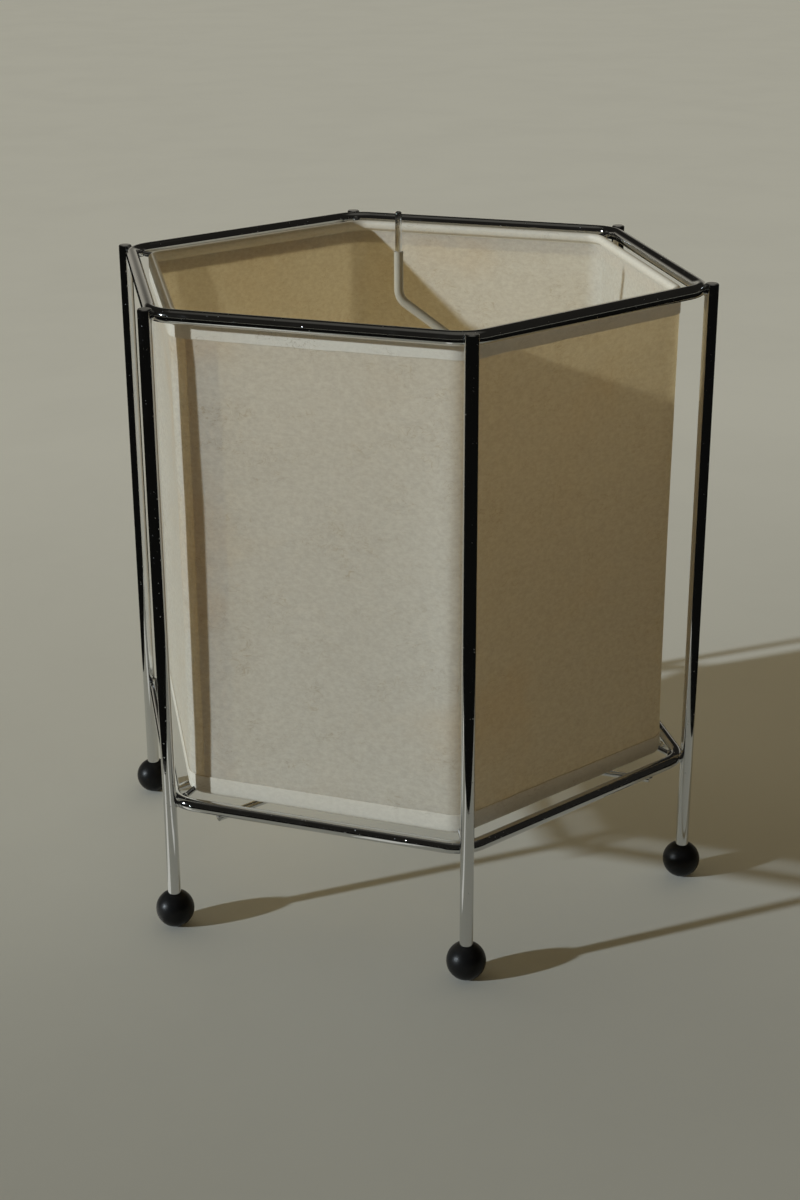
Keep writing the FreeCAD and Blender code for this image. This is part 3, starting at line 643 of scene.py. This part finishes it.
@dataclass(frozen=True)
class WireHexagon:
    """A level hexagon of round wire with bent corners.

    Attributes:
        apothem: the reach of a side's middle from the axis.
        bend: the radius of its bends.
        height: how high it lies.
        radius: the wire's radius.
    """

    apothem: float
    bend: float
    height: float
    radius: float

    @classmethod
    def of(cls, node: str) -> "WireHexagon":
        """Read a ring or hoop from its solid.

        Args:
            node: the solid's name.

        Returns:
            The hexagon of its centre line.
        """
        low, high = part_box(node)
        radius = (high.z - low.z) / 2
        apothem = high.x - radius
        bend = (apothem - (high.y - radius) * COS30) / (1 - COS30)
        return cls(apothem, bend, (high.z + low.z) / 2, radius)

    @property
    def apex(self) -> float:
        """Give the reach of a corner from the axis."""
        return (self.apothem - self.bend) / COS30 + self.bend

    @property
    def half_run(self) -> float:
        """Give half the straight run of a side."""
        return (self.apothem - self.bend) * TAN30

    def stations(self, first_corner: float, step: float, bend_steps: int) -> list[Station]:
        """Go once round the centre line, from the end of a corner's bend.

        Args:
            first_corner: the direction of the corner whose bend comes last.
            step: about how far apart stations are on a straight run.
            bend_steps: stations in each bend.

        Returns:
            The stations, without the first one again at the end.
        """
        runs = max(2, round(2 * self.half_run / step))
        found = []
        along = 0.0
        for side in range(SIDES):
            facing = first_corner + SIXTH * (side + 0.5)
            normal = heading(facing)
            sideways = heading(facing + math.pi / 2)
            for count in range(runs):
                share = 2 * count / runs - 1
                middle = normal * self.apothem + sideways * self.half_run * share
                found.append(Station(middle, normal, along + self.half_run * (share + 1), abs(share)))
            along += 2 * self.half_run
            centre = heading(facing + SIXTH / 2) * (self.apex - self.bend)
            for count in range(bend_steps):
                turn = SIXTH * count / bend_steps
                outward = heading(facing + turn)
                found.append(Station(centre + outward * self.bend, outward, along + self.bend * turn, 1.0))
            along += self.bend * SIXTH
        return found


def new_piece(name: str, mesh: bpy.types.Mesh, finish: Finish, body: str) -> bpy.types.Object:
    """Put a mesh in the scene as a piece of the lamp.

    Args:
        name: the piece's name.
        mesh: its mesh.
        finish: its finish.
        body: the body that it rides on.

    Returns:
        The piece.
    """
    piece = bpy.data.objects.new(name, mesh)
    bpy.context.scene.collection.objects.link(piece)
    mesh.materials.append(finish.material())
    mesh.polygons.foreach_set("use_smooth", [True] * len(mesh.polygons))
    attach(piece, body)
    return piece


def grid_mesh(name: str, lines: Sequence[Sequence[Vector]], closed: bool) -> bpy.types.Mesh:
    """Join lines of points to a skin.

    Args:
        name: the mesh's name.
        lines: the lines, each with as many points.
        closed: whether the last line joins the first one.

    Returns:
        The mesh.
    """
    count = len(lines[0])
    faces = []
    for line in range(len(lines) if closed else len(lines) - 1):
        here = line * count
        there = (line + 1) % len(lines) * count
        faces += [(here + k, there + k, there + k + 1, here + k + 1) for k in range(count - 1)]
    mesh = bpy.data.meshes.new(name)
    mesh.from_pydata([point for line in lines for point in line], [], faces)
    return mesh


def thicken(piece: bpy.types.Object, thickness: float) -> None:
    """Give a skin its paper's thickness, half to each side.

    Args:
        piece: the skin.
        thickness: the paper's thickness.
    """
    modifier = piece.modifiers.new("thickness", "SOLIDIFY")
    modifier.thickness = thickness
    modifier.offset = 0.0


# The lamp's sub-assemblies

class Assembly:
    """A sub-assembly of the lamp that builds its own pieces."""

    def build(self) -> Iterable[bpy.types.Object]:
        """Make the pieces, one after the other."""
        raise NotImplementedError


@dataclass
class Solids(Assembly):
    """The rigid pieces, whose solids are shown as they are."""

    def build(self) -> Iterable[bpy.types.Object]:
        """Dress each solid in the finish of its slot.

        Returns:
            The solids.
        """
        for row in frame["record"]["subparts"]:
            piece = frame["nodes"][row["node"]]
            material = SLOT_FINISHES[row["material_slot"]].material()
            for slot in piece.material_slots:
                slot.material = material
            yield piece


class End(Enum):
    """The two ends of the shade, with the way from its hoop to its edge."""

    TOP = 1
    BOTTOM = -1

    @property
    def word(self) -> str:
        """Give the end's word in the solids' names."""
        return self.name.lower()


@dataclass
class PaperShade(Assembly):
    """The shade: one lapped sheet round two hoops, with a hem folded over each hoop.

    Attributes:
        corner_hold: how much less the sheet bows at a corner.
        calm: how far from a hem the sheet is free to bow.
        dive: how far before the lap the sheet begins to go under.
        tuck: how far the inner side of a hem goes past its hoop.
        crisp: the last strip beside an edge, which keeps the edge sharp.
        outer_row, inner_row: where in the noise the two edges of a hem are read.
    """

    thick: float = 0.4 * MM
    hem_thick: float = 0.3 * MM
    glue: float = 0.05 * MM
    bow: float = 3.2 * MM
    corner_hold: float = 0.85
    ripple: float = 0.3 * MM
    wide_waves: float = 16.0
    small_waves: float = 42.0
    small_share: float = 0.5
    calm: float = 12.0 * MM
    lap: float = 14.0 * MM
    lap_gap: float = 0.3 * MM
    dive: float = 1.6 * MM
    tuck: float = 2.4 * MM
    crisp: float = 0.12 * MM
    fray: float = 0.3 * MM
    fray_scale: float = 60.0
    pleat: float = 0.075 * MM
    pleat_scales: Range = (130.0, 90.0)
    outer_row: float = -3.0
    inner_row: float = 3.0
    step: float = 4.0 * MM
    bend_steps: int = 8
    leg_steps: int = 5
    cap_steps: int = 12
    tuck_steps: int = 8
    rows: int = 64
    seam_corner: int = 2

    def __post_init__(self) -> None:
        """Read the hoops, the wall and the hems from the solids."""
        self.hoops = {end: WireHexagon.of(end.word + "_hoop") for end in End}
        self.hems = {end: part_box(end.word + "_hem") for end in End}
        self.hoop = self.hoops[End.TOP]
        self.low, self.high = (corner.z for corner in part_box("shade_paper"))
        self.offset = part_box("shade_paper")[1].x - self.hoop.apothem - self.thick / 2
        self.stations = self.hoop.stations(corner_angle(self.seam_corner), self.step, self.bend_steps)
        self.lap_low = self.hems[End.BOTTOM][1].z + self.lap_gap
        self.lap_high = self.hems[End.TOP][0].z - self.lap_gap

    def build(self) -> Iterable[bpy.types.Object]:
        """Make the sheet and its two hems.

        Returns:
            The sheet and the hems.
        """
        sheet = self.sheet()
        hems = [self.hem(end) for end in End]
        yield sheet
        yield from hems

    def sway(self, station: Station, height: float) -> float:
        """Give how far the sheet stands out at a place, by its slackness.

        Args:
            station: the place round the shade.
            height: the height.

        Returns:
            The distance, less than 0 where the sheet is drawn in.
        """
        share = (height - self.low) / (self.high - self.low)
        free = ease((height - self.lap_low) / self.calm) * ease((self.lap_high - height) / self.calm)
        drawn_in = self.bow * math.sin(math.pi * share) * (1 - self.corner_hold * station.corner ** 4)
        place = Vector((station.middle.x, station.middle.y, height))
        elsewhere = Vector((7.0, 3.0, 1.0))
        waves = noise.noise(place * self.wide_waves)
        waves += self.small_share * noise.noise(place * self.small_waves + elsewhere)
        return free * (self.ripple * waves - drawn_in)

    def upright(self, station: Station, inset: float, low: float, high: float) -> list[Vector]:
        """Give one upright line of the sheet's middle.

        Args:
            station: the place round the shade.
            inset: how far the line lies inside the wall.
            low: the line's lower end.
            high: the line's upper end.

        Returns:
            The line's points, from below.
        """
        points = []
        for row in range(self.rows + 1):
            height = low + (high - low) * row / self.rows
            out = self.offset - inset + self.sway(station, height)
            points.append(station.middle + station.normal * out + lifted(height))
        return points

    def sheet(self) -> bpy.types.Object:
        """Make the sheet, whose last end dives under its first one and lies against it inside.

        Returns:
            The sheet.
        """
        first = self.stations[0]
        total = self.stations[-1].along + self.hoop.bend * SIXTH / self.bend_steps
        under = self.thick + self.glue
        lines = []
        sideways = lifted(1.0).cross(first.normal)
        beside = replace(first, middle=first.middle + sideways * self.crisp, along=self.crisp)
        for station in [first, beside, *self.stations[1:]]:
            depth = under * ease(1 - (total - station.along) / self.dive)
            lines.append(self.upright(station, depth, self.low, self.high))
        lap_steps = round(self.lap / self.step) + 1
        for share in [count / lap_steps for count in range(lap_steps)] + [1 - self.crisp / self.lap, 1.0]:
            trim = ease(share * lap_steps)
            corner = 1 - self.lap * share / self.hoop.half_run
            flap = Station(first.middle + sideways * self.lap * share, first.normal, total, corner)
            low = self.low + (self.lap_low - self.low) * trim
            high = self.high + (self.lap_high - self.high) * trim
            lines.append(self.upright(flap, under, low, high))
        mesh = grid_mesh("shade_sheet", lines, closed=False)
        piece = new_piece("shade_sheet", mesh, PAPER, "stand")
        thicken(piece, self.thick)
        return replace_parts(piece, "shade_paper")

    def fold(self, end: End) -> list[tuple[float, float]]:
        """Draw the section of a hem, from its outer free edge over the hoop to its inner one.

        Args:
            end: which hem.

        Returns:
            Points of offset from the hoop's centre line and height above it, towards the shade's edge.
        """
        low, high = self.hems[end]
        hoop = self.hoops[end]
        edge, free = (high.z, low.z) if end is End.TOP else (low.z, high.z)
        leg = abs(hoop.height - free)
        outer = high.x - hoop.apothem - self.hem_thick / 2
        cap = abs(edge - hoop.height) - self.hem_thick / 2
        middle = outer - cap
        inner = self.offset - self.thick / 2 - self.glue - self.hem_thick / 2
        points = [(outer, -leg), (outer, self.crisp - leg)]
        points += [(outer, -leg * (1 - count / self.leg_steps)) for count in range(1, self.leg_steps)]
        for count in range(self.cap_steps + 1):
            turn = math.pi * count / self.cap_steps
            points.append((middle + cap * math.cos(turn), cap * math.sin(turn)))
        for count in range(1, self.tuck_steps + 1):
            share = count / self.tuck_steps
            out = middle - cap + (inner - middle + cap) * ease(share)
            points.append((out, -hoop.radius - self.tuck * share))
        points.append((inner, points[-1][1] - self.crisp))
        return points

    def hem(self, end: End) -> bpy.types.Object:
        """Make one hem, with its free edges cut a little unevenly.

        Args:
            end: which hem.

        Returns:
            The hem.
        """
        section = self.fold(end)
        hoop = self.hoops[end]
        leg = abs(section[0][1])
        across, upward = self.pleat_scales
        lines = []
        for station in self.stations:
            line = []
            for count, (out, rise) in enumerate(section):
                hang = max(0.0, -rise / leg)
                side = self.outer_row if count < len(section) / 2 else self.inner_row
                ragged = noise.noise(Vector((station.along * self.fray_scale, side, float(end.value))))
                waved = noise.noise(Vector((station.along * across, rise * upward, side)))
                rise += self.fray * ragged * hang
                out += self.pleat * waved * hang * (1 - hang)
                height = hoop.height + end.value * rise
                line.append(station.middle + station.normal * out + lifted(height))
            lines.append(line if end is End.TOP else line[::-1])
        name = end.word + "_hem_fold"
        piece = new_piece(name, grid_mesh(name, lines, closed=True), HEM_PAPER, "stand")
        thicken(piece, self.hem_thick)
        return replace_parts(piece, end.word + "_hem")


@dataclass
class Welds(Assembly):
    """Small plated beads where the wires of the frame meet."""

    leg_bead: Triple = (1.3 * MM, 2.7 * MM, 2.6 * MM)
    spoke_bead: Triple = (1.5 * MM, 1.9 * MM, 1.9 * MM)
    arm_bead: Triple = (1.7 * MM, 2.0 * MM, 0.8 * MM)
    lumps: float = 0.16
    lump_scale: float = 1.7
    lump_shift: float = 900.0
    fineness: int = 3

    def __post_init__(self) -> None:
        """Read the rings and the legs from the solids."""
        self.rings = {end: WireHexagon.of(end.word + "_ring") for end in End}
        self.hoops = {end: WireHexagon.of(end.word + "_hoop") for end in End}
        low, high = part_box("leg_3")
        self.leg_circle = -(low.y + high.y) / 2
        self.leg_radius = (high.x - low.x) / 2

    def build(self) -> Iterable[bpy.types.Object]:
        """Make the beads of the legs, the spokes and the arms.

        Returns:
            One piece for each kind of joint at each ring.
        """
        for end, ring in self.rings.items():
            contact = (ring.apex + ring.radius + self.leg_circle - self.leg_radius) / 2
            yield self.beads(end.word + "_leg_welds", self.leg_bead,
                             [(corner_angle(n), contact, 0.0, ring.height) for n in range(1, SIDES + 1)])
            slope = (self.hoops[end].height - ring.height) / (ring.apex - self.hoops[end].apex)
            reach = ring.apex - ring.radius / math.hypot(1.0, slope)
            height = ring.height + slope * (ring.apex - reach)
            yield self.beads(end.word + "_spoke_welds", self.spoke_bead,
                             [(corner_angle(n), reach, 0.0, height) for n in range(1, SIDES + 1)])
        ring = self.rings[End.BOTTOM]
        low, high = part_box("holder_arm_5")
        offset = abs(low.x + high.x) / 2
        reach = (ring.apothem - offset * math.sin(SIXTH / 2)) / COS30
        yield self.beads("arm_welds", self.arm_bead,
                         [(corner_angle(n), reach, side * offset, ring.height - ring.radius)
                          for n in (2, 4, 6) for side in (-1, 1)])

    def beads(self, name: str, size: Triple,
              places: Sequence[tuple[float, float, float, float]]) -> bpy.types.Object:
        """Make a group of uneven beads.

        Args:
            name: the piece's name.
            size: a bead's half sizes outwards, sideways and upwards.
            places: the direction, reach, sideways offset and height of each bead.

        Returns:
            The piece.
        """
        shape = bmesh.new()
        for angle, reach, aside, height in places:
            ball = bmesh.ops.create_icosphere(shape, subdivisions=self.fineness, radius=1.0)
            turn = Matrix.Rotation(angle, 3, "Z")
            seat = turn @ Vector((reach, aside, 0.0)) + lifted(height)
            for vertex in ball["verts"]:
                place = vertex.co * self.lump_scale + seat * self.lump_shift
                lump = 1 + self.lumps * noise.noise(place)
                local = Vector(part * half for part, half in zip(vertex.co * lump, size))
                vertex.co = seat + turn @ local
        mesh = bpy.data.meshes.new(name)
        shape.to_mesh(mesh)
        shape.free()
        return new_piece(name, mesh, CHROME, "stand")


# Light, floor and camera

@dataclass
class Stage:
    """The plain floor, the light and the surroundings that the bright metal mirrors.

    Attributes:
        pale_sectors: the first and last direction of each pale card, in degrees from +X.
    """

    floor_radius: float = 9.0
    floor_near: Colour = (0.575, 0.573, 0.528)
    # painted light: the far colour is paler than the near one
    floor_far_painted_light: Colour = (0.97, 0.965, 0.905)
    ring_steps: int = 96
    # painted reflections: the dark and pale cards are only seen mirrored in the bright metal
    dark_card: Range = (0.3, 5.0)
    dark_colour: Colour = (0.012, 0.012, 0.012)
    pale_card: Range = (0.147, 0.3)
    pale_colour: Colour = (0.9, 0.9, 0.86)
    pale_lit: float = 0.28
    pale_sectors: tuple[tuple[int, int], ...] = ((195, 209), (238, 247))
    card_height: float = 0.4 * MM
    key_heading: float = math.radians(11.5)
    key_height: float = math.radians(17.2)
    key_width: float = math.radians(1.8)
    key_strength: float = 2.35
    key_colour: Colour = (0.84, 0.94, 1.0)
    fill_wall: Colour = (0.69, 0.615, 0.445)
    fill_left: Colour = (0.12, 0.072, 0.022)
    fill_right: Colour = (0.045, 0.027, 0.008)
    fill_top: Colour = (0.085, 0.067, 0.035)
    backdrop: Colour = (0.35, 0.34, 0.29)
    # painted reflections: what glossy rays see of the surroundings
    mirror_wall: Colour = (0.33, 0.31, 0.26)
    mirror_room: Colour = (0.014, 0.013, 0.011)
    mirror_top: Colour = (0.09, 0.086, 0.074)

    def build(self) -> None:
        """Set the stage."""
        paint = FloorPaint("floor_paint", self.floor_near, self.floor_far_painted_light)
        self.ring("floor", (0.0, self.floor_radius), paint)
        black = Card("black_card", self.dark_colour)
        white = Card("white_card", self.pale_colour, lit=self.pale_lit)
        cards = [self.ring("dark_card", self.dark_card, black, self.card_height)]
        for first, last in self.pale_sectors:
            sector = (math.radians(first), math.radians(last))
            cards.append(self.ring("pale_card_%d" % first, self.pale_card, white, self.card_height, sector))
        # painted reflections: the cards show only in mirrored rays, as painted dark reflections and painted
        # pale glints on the metal
        for card in cards:
            card.visible_camera = card.visible_diffuse = False
            card.visible_shadow = card.visible_transmission = False
        self.key()
        self.surroundings()

    def ring(self, name: str, radii: Range, finish: Finish, height: float = 0.0,
             sector: Range = (0.0, math.tau)) -> bpy.types.Object:
        """Lay a flat round sheet, or a sector of one, on the stage.

        Args:
            name: its name.
            radii: its inner radius, or 0, and its outer one.
            finish: its finish.
            height: its height.
            sector: its first and last direction.

        Returns:
            The sheet.
        """
        lines = []
        for count in range(self.ring_steps + 1):
            way = heading(sector[0] + (sector[1] - sector[0]) * count / self.ring_steps)
            lines.append([way * radius + lifted(height) for radius in radii])
        mesh = grid_mesh(name, lines, closed=False)
        mesh.materials.append(finish.material())
        sheet = bpy.data.objects.new(name, mesh)
        bpy.context.scene.collection.objects.link(sheet)
        return sheet

    def key(self) -> None:
        """Hang the key light, low on the left."""
        light = bpy.data.lights.new("key", "SUN")
        light.energy = self.key_strength
        light.angle = self.key_width
        light.color = self.key_colour
        lamp = bpy.data.objects.new("key", light)
        falls = heading(self.key_heading) * math.cos(self.key_height) - lifted(math.sin(self.key_height))
        lamp.rotation_mode = "QUATERNION"
        lamp.rotation_quaternion = falls.to_track_quat("-Z", "Y")
        bpy.context.scene.collection.objects.link(lamp)

    def surroundings(self) -> None:
        """Put a pale wall behind the lamp and a dim room before it, both darker where metal mirrors them, as
        painted reflections.
        """
        world = bpy.data.worlds.new("surroundings")
        world.use_nodes = True
        graph = Graph(world.node_tree)
        way = graph.add("ShaderNodeTexCoord").outputs["Generated"]
        parts = graph.add("ShaderNodeSeparateXYZ", {"Vector": way}).outputs
        behind = graph.spread(parts["Y"], (-0.1, 0.7), RISE)
        above = graph.spread(parts["Z"], (0.25, 0.8), RISE)
        overhead = graph.spread(parts["Z"], (0.8, 0.97), RISE)
        rightward = graph.spread(parts["X"], (-0.5, 0.7), RISE)
        wall = graph.math("MULTIPLY", behind, graph.spread(parts["Z"], (0.45, 0.9), FALL))
        low_wall = graph.math("MULTIPLY", behind, graph.spread(parts["Z"], (0.08, 0.3), FALL))
        room = graph.blend(rightward, self.fill_left, self.fill_right)
        fill = graph.blend(wall, graph.blend(above, room, self.fill_top), self.fill_wall)
        # painted reflections: glossy rays see these colours, not the ones that light the lamp
        mirrored = graph.blend(low_wall, self.mirror_room, self.mirror_wall)
        mirrored = graph.blend(overhead, mirrored, self.mirror_top)
        path = graph.add("ShaderNodeLightPath").outputs
        shown = graph.blend(path["Is Glossy Ray"], fill, mirrored)
        shown = graph.blend(path["Is Camera Ray"], shown, self.backdrop)
        back = graph.add("ShaderNodeBackground", {"Color": shown, "Strength": 1.0})
        graph.add("ShaderNodeOutputWorld", {"Surface": back.outputs[0]})
        bpy.context.scene.world = world
        bpy.context.scene.view_settings.view_transform = "Standard"


@dataclass(frozen=True)
class PhotoCamera:
    """The photograph's camera, found from the legs, rings and feet."""

    eye: Triple = (-0.16299, -0.85863, 0.46226)
    azimuth: float = -0.18471
    elevation: float = 0.36924
    roll: float = -0.00432
    focal_pixels: float = 1945.58
    long_side_pixels: float = 1200.0
    sensor_mm: float = 36.0

    def place(self) -> bpy.types.Object:
        """Put the camera in the scene.

        Returns:
            The camera.
        """
        data = bpy.data.cameras.new("photo_camera")
        data.sensor_width = self.sensor_mm
        data.lens = self.focal_pixels * self.sensor_mm / self.long_side_pixels
        camera = bpy.data.objects.new("photo_camera", data)
        level = math.cos(self.elevation)
        back = Vector((math.sin(self.azimuth) * level, -math.cos(self.azimuth) * level,
                       math.sin(self.elevation)))
        right = heading(self.azimuth)
        right = right * math.cos(self.roll) + back.cross(right) * math.sin(self.roll)
        axes = Matrix((right, back.cross(right), back)).transposed()
        camera.matrix_world = Matrix.Translation(self.eye) @ axes.to_4x4()
        bpy.context.scene.collection.objects.link(camera)
        bpy.context.scene.camera = camera
        return camera


def main() -> None:
    """Build the sub-assemblies in order, report each piece, and set the stage."""
    logging.basicConfig(level=logging.INFO, format="%(name)s: %(message)s")
    for assembly in (Solids(), PaperShade(), Welds()):
        for piece in assembly.build():
            log.info("%s: %s, %d faces", type(assembly).__name__, piece.name, len(piece.data.polygons))
    Stage().build()
    PhotoCamera().place()


if __name__ == "__main__":
    main()
